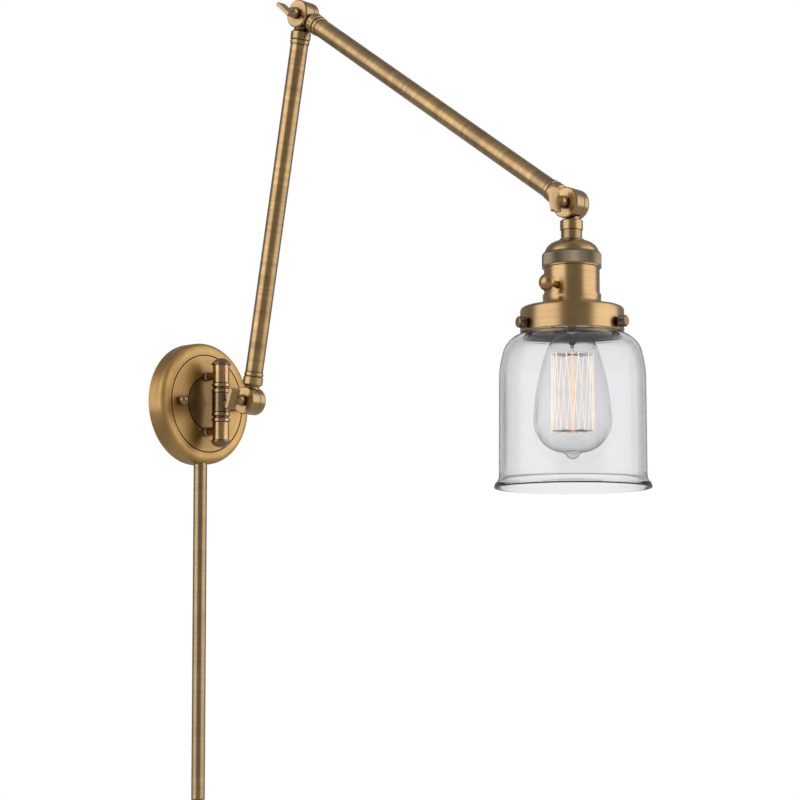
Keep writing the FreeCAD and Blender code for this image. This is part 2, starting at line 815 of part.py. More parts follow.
def holder_cap():
    """Domed upper half of the lamp holder."""
    top, wall = size("bushing_lip_end") + 0.02, size("holder_cap_wall")
    reach, end = size("holder_cap_radius"), size("holder_cap_end")
    bore = size("nipple_radius") + size("fit_gap")
    corners = [
        (bore, top), (9.6, top), (16.5, top + 2.4, 20.0, -1), (reach, top + 10.6, 11.0, -1),
        (reach, end), (reach - wall, end), (reach - wall, top + 10.8),
        (16.0, top + 3.2, 10.2, 1), (9.6, top + wall, 19.2, 1), (bore, top + wall),
    ]
    return turned("holder_cap", corners, HEAD)


def knurled_ring():
    reach, start, end = size("knurl_radius"), size("knurl_start"), size("knurl_end")
    bore = size("shell_radius") + size("fit_gap")
    corners = [
        (size("holder_cap_radius") + size("fit_gap"), start), (bore + 0.3, start),
        (reach, start + 1.9), (reach, end - 1.3), (reach - 0.3, end - 1.0), (reach, end - 0.7),
        (reach - 0.3, end), (bore, end), (bore, start + 3.0),
        (size("holder_cap_radius") + size("fit_gap"), start + 3.0),
    ]
    return turned("knurled_ring", corners, HEAD)


KNOB_ANGLE = -175.0     # around the lamp axis, seen from above


def around_lamp(angle, drop):
    """Place on the lamp axis whose local z points out at the given angle."""
    rotation = turn(AXIS_Z, angle) * turn(AXIS_Y, 90)
    return at(LAMP - vector(0, 0, drop), rotation)


def holder_shell():
    reach, wall = size("shell_radius"), size("shell_wall")
    start, end = size("knurl_start") + 3.2, size("shell_end")
    corners = [
        (reach - 0.3, start), (reach, start), (reach, end), (reach - wall, end),
        (reach - wall, start + 9.0), (reach - 0.3, start + 9.0),
    ]
    body = turned("shell_turning", corners, HEAD)
    hole = rod(size("knob_stem_radius") + 0.5, 40, around_lamp(KNOB_ANGLE, number("knob_drop")))
    return cut_from("holder_shell", body, [hole])


def insulating_liner():
    reach, wall = size("liner_radius"), size("liner_wall")
    corners = [
        (reach, size("core_start")), (reach + wall, size("core_start")),
        (reach + wall, size("shell_end")), (reach, size("shell_end")),
    ]
    body = turned("liner_turning", corners, HEAD)
    hole = rod(size("knob_stem_radius") + 0.5, 40, around_lamp(KNOB_ANGLE, number("knob_drop")))
    return cut_from("insulating_liner", body, [hole])


def holder_core():
    """Insulating core with the rotary switch and a skirt round the screw shell."""
    reach, start, end = size("core_radius"), size("core_start"), size("core_end")
    skirt = end + 9.0
    corners = [
        (2.2, start), (12.0, start), (reach - 1.0, start + 4.0), (reach, start + 5.0),
        (reach, skirt), (15.0, skirt), (15.0, end), (2.2, end),
    ]
    body = turned("core_turning", corners, HEAD)
    switch = rod(size("knob_stem_radius") + size("running_gap"), 9,
                 at(LAMP + vector(0, 0, -number("knob_drop")) + 14.5 *
                    vector(math.cos(math.radians(KNOB_ANGLE)),
                           math.sin(math.radians(KNOB_ANGLE)), 0),
                    around_lamp(KNOB_ANGLE, 0).Rotation))
    return cut_from("holder_core", body, [switch])


def screw_shell():
    """Threaded metal shell that takes the bulb's cap."""
    start, end = size("core_end") + 0.02, size("bulb_cap_end") - 4.0
    corners = [
        (6.0, start), (14.2, start), (14.2, end), (13.7, end), (13.7, start + 0.5),
        (6.0, start + 0.5),
    ]
    return turned("screw_shell", corners, HEAD)


def centre_contact():
    start = size("core_end")
    corners = [(2.3, start + 0.02), (5.0, start + 0.02), (4.2, start + 0.5), (2.6, start + 0.9)]
    return turned("centre_contact", corners, HEAD)


def socket_leads():
    """Pair of leads from the knuckle's stub down to the holder's core."""
    pieces = []
    for side in (-1, 1):
        spot = LAMP + vector(side * (number("lead_radius") + 0.1), 0, -number("lead_start"))
        height = number("core_start") - number("lead_start") - 0.1
        pieces.append(rod(size("lead_radius"), height, at(spot, DOWN)))
    return grouped("socket_leads", pieces)


def switch_knob():
    """Turned ball knob on the rotary switch's stem."""
    stem, ball_reach = size("knob_stem_radius"), size("knob_ball_radius")
    start, middle = 16.0, size("knob_reach")
    near = middle - 4.6
    corners = [
        (0, start), (stem, start), (stem, near - 1.0), (stem + 0.5, near),
        (ball_reach, middle + 0.2, 6.6, -1), (0, middle + 5.2, dome(ball_reach, 5.0), -1),
    ]
    return turned("switch_knob", corners, around_lamp(KNOB_ANGLE, number("knob_drop")))


# ---------------------------------------------------------------- shade

SCREW_ANGLES = (-83.5, 36.5, 156.5)


def shade_gallery():
    """Cup that hangs on the lamp holder and grips the glass with three screws."""
    reach, wall, edge = size("gallery_radius"), size("gallery_wall"), size("gallery_round")
    neck, flare = size("gallery_neck_radius"), size("gallery_flare_radius")
    top, end = size("gallery_flare_end"), size("gallery_end")
    start = size("shell_end") - 2.4
    corners = [
        (neck, start), (neck + 0.9, start), (neck + 0.9, start + 2.6), (flare, top - 0.7, 6.2, 1),
        (flare, top), (reach - edge, top), (reach, top + edge, edge, -1), (reach, end - 0.8),
        (reach - 0.3, end), (reach - wall, end), (reach - wall, top + edge),
        (reach - edge, top + wall, edge - wall, 1), (neck + 1.0, top + wall),
        (neck, top - 1.0),
    ]
    body = turned("gallery_turning", corners, HEAD)
    tools = []
    for angle in SCREW_ANGLES:
        place = around_lamp(angle, number("shade_screw_drop"))
        tools.append(rod(size("shade_screw_radius") + size("running_gap"), 60, place))
    return cut_from("shade_gallery", body, tools)


def shade_screw(label, angle):
    reach, head = size("shade_screw_radius"), size("shade_screw_head_radius")
    end = size("shade_screw_reach")
    start = end - size("shade_screw_head_length")
    tip = size("glass_neck_radius") + 0.35
    corners = [
        (0, tip), (reach - 0.5, tip), (reach, tip + 0.5), (reach, start), (head - 0.4, start),
        (head, start + 0.4), (head, end - 0.9), (head - 0.9, end), (0, end),
    ]
    return turned(label, corners, around_lamp(angle, number("shade_screw_drop")))


def glass_shade():
    """Clear blown glass: beaded neck, round shoulder, straight wall, flared rim."""
    wall, neck, bead = size("glass_wall"), size("glass_neck_radius"), size("glass_bead_radius")
    reach, rim, end = size("glass_radius"), size("glass_rim_radius"), size("glass_end")
    top = size("gallery_flare_end") + size("gallery_wall") + 4.2
    shoulder = size("gallery_end") + 0.4
    widest = size("glass_widest")
    corners = [
        (neck - wall, top), (bead - 0.8, top), (bead, top + 1.2, 1.4, -1),
        (bead, top + 3.0), (neck, top + 5.2), (neck, shoulder - 3.0),
        (42.0, shoulder + 0.4, 4.5, 1), (57.0, widest - 21.2, 21.0, -1),
        (reach, widest, 80.0, -1), (reach + 0.4, end - 12.0),
        (rim - 0.9, end - 4.0, 9.0, 1), (rim, end - 1.0), (rim - 1.2, end, 1.3, -1),
        (rim - 2.8, end - 1.0, 1.6, -1), (reach + 0.4 - wall, end - 12.0, 12.0, -1),
        (reach - wall, widest), (54.7, widest - 20.2, 77.5, 1),
        (41.0, shoulder + 2.7, 18.5, 1), (neck - wall, shoulder - 2.6, 7.0, -1),
    ]
    return turned("glass_shade", corners, HEAD)


# ---------------------------------------------------------------- bulb

def bulb_glass():
    """Long pear-shaped envelope with a drawn-off tip at its end."""
    neck, reach, wall = size("bulb_neck_radius"), size("bulb_radius"), size("bulb_wall")
    start, widest, end = size("bulb_cap_end") + 0.02, size("bulb_widest"), size("bulb_end")
    corners = [
        (neck - wall, start), (neck, start), (neck, start + 6.0), (19.2, 115.5, 60.0, 1),
        (reach, widest, 190.0, -1), (24.0, end - 8.6, 28.0, -1), (9.0, end - 1.6, 26.0, -1),
        (5.0, end + 1.6, 5.0, 1), (0, end + 3.8, dome(5.0, 2.2), -1), (0, end + 3.0),
        (4.3, end + 1.0, dome(4.3, 2.0), 1), (8.6, end - 2.4, 5.8, -1),
        (23.4, end - 9.2, 25.2, 1), (reach - wall, widest, 27.2, 1),
        (18.4, 115.5, 189.2, 1), (neck - wall, start + 6.0, 60.8, -1),
    ]
    return turned("bulb_glass", corners, HEAD)


def bulb_cap():
    """Screw cap with rounded thread turns."""
    reach, start, end = size("bulb_cap_radius"), size("bulb_cap_start"), size("bulb_cap_end")
    corners = [(0, start + 2.6), (5.2, start + 2.6), (9.5, start + 3.4), (12.2, start + 4.8)]
    pitch, turns = 3.6, 5
    for index in range(turns):
        low = start + 5.4 + index * pitch
        corners.append((reach, low + 0.8))
        corners.append((reach, low + 1.6))
        corners.append((12.3, low + 2.7))
        corners.append((12.3, low + 3.0))
    corners += [(13.3, end), (12.5, end), (11.6, end - 2.0), (11.6, start + 5.6), (0, start + 3.6)]
    return turned("bulb_cap", corners, HEAD)


def bulb_contact():
    start = size("bulb_cap_start")
    corners = [(0, start), (3.6, start + 0.6), (4.6, start + 1.6), (5.0, start + 2.55),
               (0, start + 2.55)]
    return turned("bulb_contact", corners, HEAD)


def bulb_stem():
    """Glass stem and centre rod that carry the filament."""
    start, end = size("bulb_cap_end") + 1.0, size("filament_end")
    reach = size("bulb_stem_radius")
    corners = [
        (8.6, start), (10.0, start), (5.2, start + 8.0, 10.0, 1), (3.4, start + 20.0),
        (reach, start + 26.0), (reach, end), (reach + 1.2, end + 1.2), (0, end + 2.6),
        (0, start + 12.0), (3.0, start + 8.5), (5.0, start + 3.5),
    ]
    return turned("bulb_stem", corners, HEAD)


def cage_points(inset=0.0):
    """Upper and lower hook points of the filament cage, one after the other."""
    count = int(number("filament_bends"))
    top, low = number("filament_top"), number("filament_end")
    inner, outer = number("filament_top_radius"), number("filament_end_radius")
    points = []
    for index in range(count):
        angle = 2 * math.pi * (index + 0.25) / count
        reach, drop = (inner, top) if index % 2 == 0 else (outer, low)
        reach -= inset
        points.append(LAMP + vector(reach * math.cos(angle), reach * math.sin(angle), -drop))
    return points


def filament_shape():
    """Zigzag strand hung between the upper and lower hooks, fused strand by strand."""
    wire = number("filament_wire")
    tilted = vector(0.3, 0.4, 0.86)
    points = cage_points()
    strand = Part.makeSphere(wire * 1.5, points[0], tilted)
    for begin, end in zip(points[:-1], points[1:]):
        along = end - begin
        strand = strand.fuse(Part.makeCylinder(wire, along.Length, begin, along))
        strand = strand.fuse(Part.makeSphere(wire * 1.5, end, tilted))
    return strand


def hooks_shape():
    """Spokes from the stem's rod that hold the filament's bends."""
    solids = []
    wire = number("hook_wire")
    for tip in cage_points(number("filament_wire") + 0.3):
        middle = vector(LAMP.x, LAMP.y, tip.z)
        along = tip - middle
        along.normalize()
        start = middle + along * (number("bulb_stem_radius") + 0.1)
        solids.append(Part.makeCylinder(wire, (tip - start).Length, start, along))
    return Part.makeCompound(solids)


def shaped(label, shape):
    item = doc.addObject("Part::Feature", label)
    item.Label = label
    item.Shape = shape
    item.Placement = at(vector(0, 0, 0))
    return item


def canopy_leads():
    """Tails of the leads where they leave the connectors."""
    pieces = []
    for x, z in ((-30.0, 22.0), (-17.0, 26.0)):
        spot = vector(x, -9.0, z - 10.2)
        pieces.append(rod(size("lead_radius"), 10.0, at(spot)))
    return grouped("canopy_leads", pieces)


# ---------------------------------------------------------------- build all

nodes = [
    canopy(), mounting_bar(), canopy_studs(), ball_nuts(), ground_screw(), standoffs(),
    standoff_nuts(), barrel("upper_barrel", NO_TURN), barrel("lower_barrel", DOWN), hinge_pin(),
    post_caps(), post_washers(), cord_tube(), cord_tube_collar(), cord_tube_bushing(),
    wire_connectors(), canopy_leads(), swivel_barrel(), shoulder_knuckle(),
]
nodes += arm("lower_arm", SHOULDER, ELBOW)
nodes += arm("upper_arm", ELBOW, LAMP)
nodes += [
    wing_screw("shoulder_wing_screw", SHOULDER, 21.0),
    wing_screw("elbow_wing_screw", ELBOW, -48.0),
    wing_screw("lamp_wing_screw", LAMP, -7.0),
    lamp_knuckle(), holder_bushing(), threaded_nipple(), holder_cap(), knurled_ring(),
    holder_shell(), insulating_liner(), holder_core(), screw_shell(), centre_contact(),
    socket_leads(), switch_knob(), shade_gallery(),
    shade_screw("shade_screw_front", SCREW_ANGLES[0]),
    shade_screw("shade_screw_right", SCREW_ANGLES[1]),
    shade_screw("shade_screw_left", SCREW_ANGLES[2]),
    glass_shade(), bulb_glass(), bulb_cap(), bulb_contact(), bulb_stem(),
]
doc.recompute()
nodes.append(shaped("filament", filament_shape()))
nodes.append(shaped("filament_hooks", hooks_shape()))
doc.recompute()

for item in doc.Objects:
    if "Invalid" in item.State or "Error" in item.State:
        raise RuntimeError("%s is not sound: %s" % (item.Label, item.State))
for item in nodes:
    if item.Shape.isNull() or not item.Shape.isValid():
        raise RuntimeError("%s has no sound shape" % item.Label)
    item.Shape.exportStep("parts/%s.step" % item.Label)
    print("%-26s solids %d volume %.0f" % (item.Label, len(item.Shape.Solids), item.Shape.Volume))
print("nodes", len(nodes))
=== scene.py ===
import math

import bpy
from mathutils import Matrix, Vector


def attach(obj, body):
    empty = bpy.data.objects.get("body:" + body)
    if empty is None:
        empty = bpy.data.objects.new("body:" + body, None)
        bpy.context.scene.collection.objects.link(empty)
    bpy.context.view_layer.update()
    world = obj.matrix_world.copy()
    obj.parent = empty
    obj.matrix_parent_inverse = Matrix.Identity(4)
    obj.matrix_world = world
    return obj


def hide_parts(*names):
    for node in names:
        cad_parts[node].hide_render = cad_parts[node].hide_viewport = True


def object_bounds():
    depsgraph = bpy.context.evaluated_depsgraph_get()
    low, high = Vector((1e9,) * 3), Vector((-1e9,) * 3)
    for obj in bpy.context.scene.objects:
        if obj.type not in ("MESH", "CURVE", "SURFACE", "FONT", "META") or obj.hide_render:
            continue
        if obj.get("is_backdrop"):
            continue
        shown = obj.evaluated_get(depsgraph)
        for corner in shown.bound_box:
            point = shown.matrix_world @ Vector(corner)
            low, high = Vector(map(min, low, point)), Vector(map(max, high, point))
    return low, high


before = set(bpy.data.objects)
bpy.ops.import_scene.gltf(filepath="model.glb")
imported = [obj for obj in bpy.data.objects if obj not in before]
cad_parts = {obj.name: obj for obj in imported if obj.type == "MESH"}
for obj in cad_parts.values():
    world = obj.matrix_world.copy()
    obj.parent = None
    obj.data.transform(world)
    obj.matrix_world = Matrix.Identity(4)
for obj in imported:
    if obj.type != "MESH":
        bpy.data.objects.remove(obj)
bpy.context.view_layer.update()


# ---------------------------------------------------------------- camera
# A long lens a little over two metres away, left of the lamp and just below its canopy.
# It looks slightly up and the frame is shifted, so the upright parts stay nearly upright.
VIEW_AZIMUTH = math.radians(-48.98)
VIEW_PITCH = math.radians(4.55)
VIEW_DISTANCE = 2.08165
VIEW_RIGHT, VIEW_UP = 0.19555, -0.07084
LENS_MM, SENSOR_MM, FRAME_SHIFT = 99.0, 36.0, 0.1

sight = Vector((-math.sin(VIEW_AZIMUTH) * math.cos(VIEW_PITCH),
                math.cos(VIEW_AZIMUTH) * math.cos(VIEW_PITCH), math.sin(VIEW_PITCH)))
right = Vector((math.cos(VIEW_AZIMUTH), math.sin(VIEW_AZIMUTH), 0.0))
above = right.cross(sight)
lens = bpy.data.cameras.new("camera")
lens.sensor_width = SENSOR_MM
lens.lens = LENS_MM
lens.shift_y = FRAME_SHIFT
camera = bpy.data.objects.new("camera", lens)
camera.location = sight * -VIEW_DISTANCE + right * VIEW_RIGHT + above * VIEW_UP
camera.rotation_euler = sight.to_track_quat("-Z", "Y").to_euler()
bpy.context.scene.collection.objects.link(camera)
bpy.context.scene.camera = camera
bpy.context.scene.view_settings.view_transform = "Standard"


# ---------------------------------------------------------------- studio
# A white room with one tall soft light on each side of the lamp and little light in front of,
# behind and under it. The lights are wide bands of the surroundings, so metal shows them as
# long soft stripes. The camera and the glass see the room plain white.
def add(tree, kind, links=(), **settings):
    """Adds a node with its settings; a link or a value goes to each named socket."""
    made = tree.nodes.new(kind)
    for field, value in settings.items():
        setattr(made, field, value)
    for socket, value in dict(links).items():
        if isinstance(value, bpy.types.NodeSocket):
            tree.links.new(value, made.inputs[socket])
        else:
            made.inputs[socket].default_value = value
    return made


def linear(code):
    """sRGB hex colour as linear red, green, blue and alpha."""
    channels = [int(code[i:i + 2], 16) / 255 for i in (1, 3, 5)]
    return [c / 12.92 if c <= 0.04045 else ((c + 0.055) / 1.055) ** 2.4 for c in channels] + [1.0]


room = bpy.data.worlds.new("room")
room.use_nodes = True
bpy.context.scene.world = room
tree = room.node_tree
tree.nodes.clear()
facing = Vector((-sight.x, -sight.y, 0.0)).normalized()
direction = add(tree, "ShaderNodeTexCoord").outputs["Generated"]
unit = add(tree, "ShaderNodeVectorMath", {0: direction}, operation="NORMALIZE").outputs[0]
height = add(tree, "ShaderNodeSeparateXYZ", {0: unit}).outputs["Z"]
flat = add(tree, "ShaderNodeVectorMath", {0: unit, 1: (1.0, 1.0, 0.0)}, operation="MULTIPLY")
flat = add(tree, "ShaderNodeVectorMath", {0: flat.outputs[0]}, operation="NORMALIZE")
PANELS = ((-63.0, 28.0, 1.85), (78.0, 33.0, 1.65))    # degrees from the camera, half width, level
PANEL_EDGE = 11.0                                     # degrees each side over which one fades
PANEL_FOOT, PANEL_TOP = (-0.45, -0.1), (0.4, 0.85)    # sines of the elevation where it fades
OVERHEAD = 0.2              # share of a panel's light that is left overhead
DIM, HAZE = 0.15, 0.13      # level of the rest of the room, and of the white backdrop in metal
total = None
for turned, half, strength in PANELS:
    spin = math.radians(turned)
    middle = facing * math.cos(spin) + right * math.sin(spin)
    towards = add(tree, "ShaderNodeVectorMath", {0: flat.outputs[0], 1: middle},
                  operation="DOT_PRODUCT").outputs["Value"]
    band = add(tree, "ShaderNodeMapRange",
               {0: towards, 1: math.cos(math.radians(half + PANEL_EDGE)),
                2: math.cos(math.radians(half - PANEL_EDGE)), 3: 0.0, 4: strength},
               interpolation_type="SMOOTHSTEP").outputs[0]
    total = band if total is None else add(tree, "ShaderNodeMath", {0: total, 1: band}).outputs[0]
low = add(tree, "ShaderNodeMapRange",
          {0: height, 1: PANEL_FOOT[0], 2: PANEL_FOOT[1], 3: 0.0, 4: 1.0},
          interpolation_type="SMOOTHSTEP").outputs[0]
high = add(tree, "ShaderNodeMapRange",
           {0: height, 1: PANEL_TOP[0], 2: PANEL_TOP[1], 3: 1.0, 4: OVERHEAD},
           interpolation_type="SMOOTHSTEP").outputs[0]
total = add(tree, "ShaderNodeMath", {0: total, 1: low}, operation="MULTIPLY").outputs[0]
total = add(tree, "ShaderNodeMath", {0: total, 1: high}, operation="MULTIPLY").outputs[0]
lit = add(tree, "ShaderNodeMath", {0: total, 1: DIM}).outputs[0]
path = add(tree, "ShaderNodeLightPath")
seen = add(tree, "ShaderNodeMath", {0: path.outputs["Is Camera Ray"],
                                    1: path.outputs["Is Transmission Ray"]}, operation="MAXIMUM")
mirrored = add(tree, "ShaderNodeMath", {0: path.outputs["Is Glossy Ray"], 1: HAZE},
               operation="MULTIPLY")
plain = add(tree, "ShaderNodeMath", {0: seen.outputs[0], 1: mirrored.outputs[0]},
            operation="MAXIMUM")
strength = add(tree, "ShaderNodeMix", {0: plain.outputs[0], 2: lit, 3: 1.0}).outputs[0]
glow = add(tree, "ShaderNodeBackground", {"Color": (1.0, 1.0, 1.0, 1.0), "Strength": strength})
add(tree, "ShaderNodeOutputWorld", {0: glow.outputs[0]})

# Pale matt painted floor, well below the lamp. It keeps the lamp's shadow near its middle and
# fades into the white backdrop further out.
FLOOR_DEPTH, FLOOR_REACH = -1.1, 6.0
FADE_START, FADE_END, OWN_WHITE = 0.3, 2.4, 0.5
mesh = bpy.data.meshes.new("floor")
corners = [(x * FLOOR_REACH, y * FLOOR_REACH, FLOOR_DEPTH)
           for x, y in ((-1, -1), (1, -1), (1, 1), (-1, 1))]
mesh.from_pydata(corners, [], [(0, 1, 2, 3)])
floor = bpy.data.objects.new("floor", mesh)
bpy.context.scene.collection.objects.link(floor)
paint = bpy.data.materials.new("matt_white_floor_paint")
paint.use_nodes = True
tree = paint.node_tree
matt = tree.nodes["Principled BSDF"]
matt.inputs["Base Color"].default_value = linear("#f4f3f1")
matt.inputs["Roughness"].default_value = 0.9
path = add(tree, "ShaderNodeLightPath")
bright = add(tree, "ShaderNodeEmission", {"Color": (1.0, 1.0, 1.0, 1.0)})
where = add(tree, "ShaderNodeTexCoord").outputs["Object"]
spread = add(tree, "ShaderNodeVectorMath", {0: where, 1: (1.0, 1.0, 0.0)}, operation="MULTIPLY")
spread = add(tree, "ShaderNodeVectorMath", {0: spread.outputs[0]}, operation="LENGTH")
fade = add(tree, "ShaderNodeMapRange", {0: spread.outputs["Value"], 1: FADE_START, 2: FADE_END,
                                        3: OWN_WHITE, 4: 1.0}, interpolation_type="SMOOTHSTEP")
share = add(tree, "ShaderNodeMath", {0: path.outputs["Is Camera Ray"], 1: fade.outputs[0]},
            operation="MULTIPLY")
layer = add(tree, "ShaderNodeMixShader",
            {0: share.outputs[0], 1: matt.outputs[0], 2: bright.outputs[0]})
tree.links.new(layer.outputs[0], tree.nodes["Material Output"].inputs["Surface"])
mesh.materials.append(paint)
floor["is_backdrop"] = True


# ---------------------------------------------------------------- canopy
# Round pressed-brass canopy against the wall, spun smooth with two thin turned grooves.
# Antique brass: brushed on a lathe, so highlights stretch across its fine rings, and lacquered
# over a brown patina; grime and painted shade darken its recesses.
BRASS, PATINA, CREASE, GRIME_AND_SHADE = "#c09a5a", "#6b4519", "#24140a", "#2a1a0c"
MOTTLE_MM = 25.0        # from one cloud of patina to the next
BRUSHED_MM = 120.0      # how far one brushing line runs around before it fades
TUMBLED_MM = 0.8        # dimples of a tumbled casting, also drawn coarser than they are
LACQUER_ROUGH, LACQUER_IOR = 0.2, 1.8

# Real brushing lines are about 0.2 mm apart. That is too fine to show at this size, so line_mm,
# the distance from one drawn line to the next, is coarser.


def brushed_brass(name, centre=None, axis=(0.0, 0.0, 1.0), tone=BRASS, shade=PATINA,
                  rough=0.30, streak=0.2, line_mm=1.6, grain=0.55, recess_mm=3.5, clean_and_lit=0.6,
                  coat=0.8, zones=()):
    """Antique brass. With a centre, fine brushing runs in rings around the axis.

    Grime and painted shade gather where less than clean_and_lit of the air within recess_mm is open.
    A zone (low, high, inner, outer, colour) paints one turned stretch, such as a groove's
    floor: its lowest and highest place along the axis and its radii, in mm.
    """
    made = bpy.data.materials.new(name)
    made.use_nodes = True
    tree = made.node_tree
    metal = tree.nodes["Principled BSDF"]
    where = add(tree, "ShaderNodeTexCoord").outputs["Object"]
    local = add(tree, "ShaderNodeVectorMath", {0: where, 1: centre or (0.0, 0.0, 0.0)},
                operation="SUBTRACT").outputs[0]
    mottle = add(tree, "ShaderNodeTexNoise",
                 {"Vector": local, "Scale": 1000 / MOTTLE_MM, "Detail": 1.0, "Roughness": 0.5})
    if centre is None:
        fine = add(tree, "ShaderNodeTexNoise",
                   {"Vector": local, "Scale": 1000 / TUMBLED_MM, "Detail": 2.0,
                    "Roughness": 0.6})
    else:
        axis = Vector(axis).normalized()
        along = add(tree, "ShaderNodeVectorMath", {0: local, 1: axis},
                    operation="DOT_PRODUCT").outputs["Value"]
        across = add(tree, "ShaderNodeVectorMath", {0: axis, 1: local},
                     operation="CROSS_PRODUCT").outputs[0]
        reach = add(tree, "ShaderNodeVectorMath", {0: across}, operation="LENGTH").outputs["Value"]
        both = add(tree, "ShaderNodeMath", {0: along, 1: reach}).outputs[0]
        count = add(tree, "ShaderNodeMath", {0: both, 1: 1000 / line_mm},
                    operation="MULTIPLY").outputs[0]
        stretched = add(tree, "ShaderNodeVectorMath", {0: axis, "Scale": count},
                        operation="SCALE").outputs[0]
        around = add(tree, "ShaderNodeVectorMath", {0: local, "Scale": 1000 / BRUSHED_MM},
                     operation="SCALE").outputs[0]
        rings = add(tree, "ShaderNodeVectorMath", {0: stretched, 1: around}).outputs[0]
        fine = add(tree, "ShaderNodeTexNoise",
                   {"Vector": rings, "Scale": 1.0, "Detail": 1.0, "Roughness": 0.5})
        tree.links.new(across, metal.inputs["Tangent"])
        metal.inputs["Anisotropic"].default_value = grain
        metal.inputs["Anisotropic Rotation"].default_value = 0.25
    # Painted shade with grime: darker where little open air is near, in recesses and between parts.
    recess = add(tree, "ShaderNodeAmbientOcclusion", {"Distance": recess_mm * 0.001}, samples=8)
    open_air = add(tree, "ShaderNodeMapRange", {0: recess.outputs["AO"], 1: 0.2, 2: clean_and_lit})
    tint = add(tree, "ShaderNodeMapRange", {0: mottle.outputs[0], 1: 0.35, 2: 0.75, 3: 0.0, 4: 0.3})
    lines = add(tree, "ShaderNodeMapRange",
                {0: fine.outputs[0], 1: 0.25, 2: 0.75, 3: streak, 4: 0.0})
    stain = add(tree, "ShaderNodeMath", {0: tint.outputs[0], 1: lines.outputs[0]},
                operation="ADD", use_clamp=True)
    worn = add(tree, "ShaderNodeMix", {0: stain.outputs[0], 6: linear(tone), 7: linear(shade)},
               data_type="RGBA")
    colour = add(tree, "ShaderNodeMix", {0: open_air.outputs[0], 6: linear(GRIME_AND_SHADE),
                                         7: worn.outputs[2]}, data_type="RGBA")
    for low, high, inner, outer, dark in zones:
        on_axis = add(tree, "ShaderNodeMath", {0: along, 1: (low + high) / 2000,
                                               2: (high - low) / 2000}, operation="COMPARE")
        on_radius = add(tree, "ShaderNodeMath", {0: reach, 1: (inner + outer) / 2000,
                                                 2: (outer - inner) / 2000}, operation="COMPARE")
        inside = add(tree, "ShaderNodeMath", {0: on_axis.outputs[0], 1: on_radius.outputs[0]},
                     operation="MULTIPLY")
        colour = add(tree, "ShaderNodeMix", {0: inside.outputs[0], 6: colour.outputs[2],
                                             7: linear(dark)}, data_type="RGBA")
    tree.links.new(colour.outputs[2], metal.inputs["Base Color"])
    polish = add(tree, "ShaderNodeMapRange",
                 {0: fine.outputs[0], 1: 0.2, 2: 0.8, 3: rough + 0.05, 4: rough - 0.03})
    tree.links.new(polish.outputs[0], metal.inputs["Roughness"])
    relief = add(tree, "ShaderNodeBump", {"Strength": 0.03, "Distance": 0.0001,
                                          "Height": fine.outputs[0]})
    tree.links.new(relief.outputs[0], metal.inputs["Normal"])
    metal.inputs["Metallic"].default_value = 1.0
    metal.inputs["Coat Weight"].default_value = coat
    metal.inputs["Coat Roughness"].default_value = LACQUER_ROUGH
    metal.inputs["Coat IOR"].default_value = LACQUER_IOR
    return made


def finish_node(name, material):
    """Gives a CAD node its finish."""
    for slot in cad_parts[name].material_slots:
        slot.material = material


WALL_CENTRE, OUT = (0.0, 0.0, 0.0), (0.0, -1.0, 0.0)
GROOVES_MM, GROOVE_MM = (45.7, 24.6), 1.2
GROOVE_FLOOR_MM, GROOVE_LIP_MM, FACE_MM = 17.5, 18.9, 19.3
groove_floors = [(GROOVE_FLOOR_MM, GROOVE_LIP_MM, radius - GROOVE_MM / 2, radius + GROOVE_MM / 2,
                  CREASE) for radius in GROOVES_MM]

# Painted shade of the post: the disc inside the inner groove is painted darker than the rest of the
# face.
post_shade_disc = [(GROOVE_LIP_MM, FACE_MM, 0.0, GROOVES_MM[1] - GROOVE_MM / 2, "#7f5f34")]
# The wide recess reach adds painted shade, with grime, on the face around the post and the standoffs.
finish_node("canopy", brushed_brass("spun_brass_canopy", WALL_CENTRE, OUT, tone="#cfa665",
                                    rough=0.40, grain=0.8, recess_mm=30.0, clean_and_lit=0.95,
                                    coat=0.2, zones=groove_floors + post_shade_disc))


# ---------------------------------------------------------------- mounting bar and fasteners
# Zinc-plated steel bar, studs and nuts that hold the canopy to the wall box, and a green screw
# for the earth wire. Cold-formed and barrel plated, so they are satin with faint blotches.
# A thread is drawn as rings at twice its pitch, because the real one is too fine to show.
BLOTCH_MM, THREAD_DEPTH = 5.0, 0.0002


def plated_steel(name, tone="#a9a8a2", blotch="#7f7d76", rough=0.38, pitch_mm=0.0, axis=2):
    """Zinc-plated steel; with a pitch, ring ridges stand for the thread along one axis."""
    made = bpy.data.materials.new(name)
    made.use_nodes = True
    tree = made.node_tree
    metal = tree.nodes["Principled BSDF"]
    where = add(tree, "ShaderNodeTexCoord").outputs["Object"]
    cloud = add(tree, "ShaderNodeTexNoise", {"Vector": where, "Scale": 1000 / BLOTCH_MM, "Detail": 5.0})
    colour = add(tree, "ShaderNodeMix", {0: cloud.outputs[0], 6: linear(tone), 7: linear(blotch)},
                 data_type="RGBA")
    tree.links.new(colour.outputs[2], metal.inputs["Base Color"])
    uneven = add(tree, "ShaderNodeMapRange",
                 {0: cloud.outputs[0], 1: 0.3, 2: 0.7, 3: rough - 0.06, 4: rough + 0.1})
    tree.links.new(uneven.outputs[0], metal.inputs["Roughness"])
    relief = cloud.outputs[0]
    if pitch_mm:
        part = add(tree, "ShaderNodeSeparateXYZ", {0: where}).outputs[axis]
        turns = add(tree, "ShaderNodeMath", {0: part, 1: 1000 / pitch_mm}, operation="MULTIPLY")
        relief = add(tree, "ShaderNodeMath", {0: turns.outputs[0], 1: 1.0},
                     operation="PINGPONG").outputs[0]
    bump = add(tree, "ShaderNodeBump", {"Strength": 0.6 if pitch_mm else 0.1,
                                        "Distance": THREAD_DEPTH, "Height": relief})
    tree.links.new(bump.outputs[0], metal.inputs["Normal"])
    metal.inputs["Metallic"].default_value = 1.0
    return made


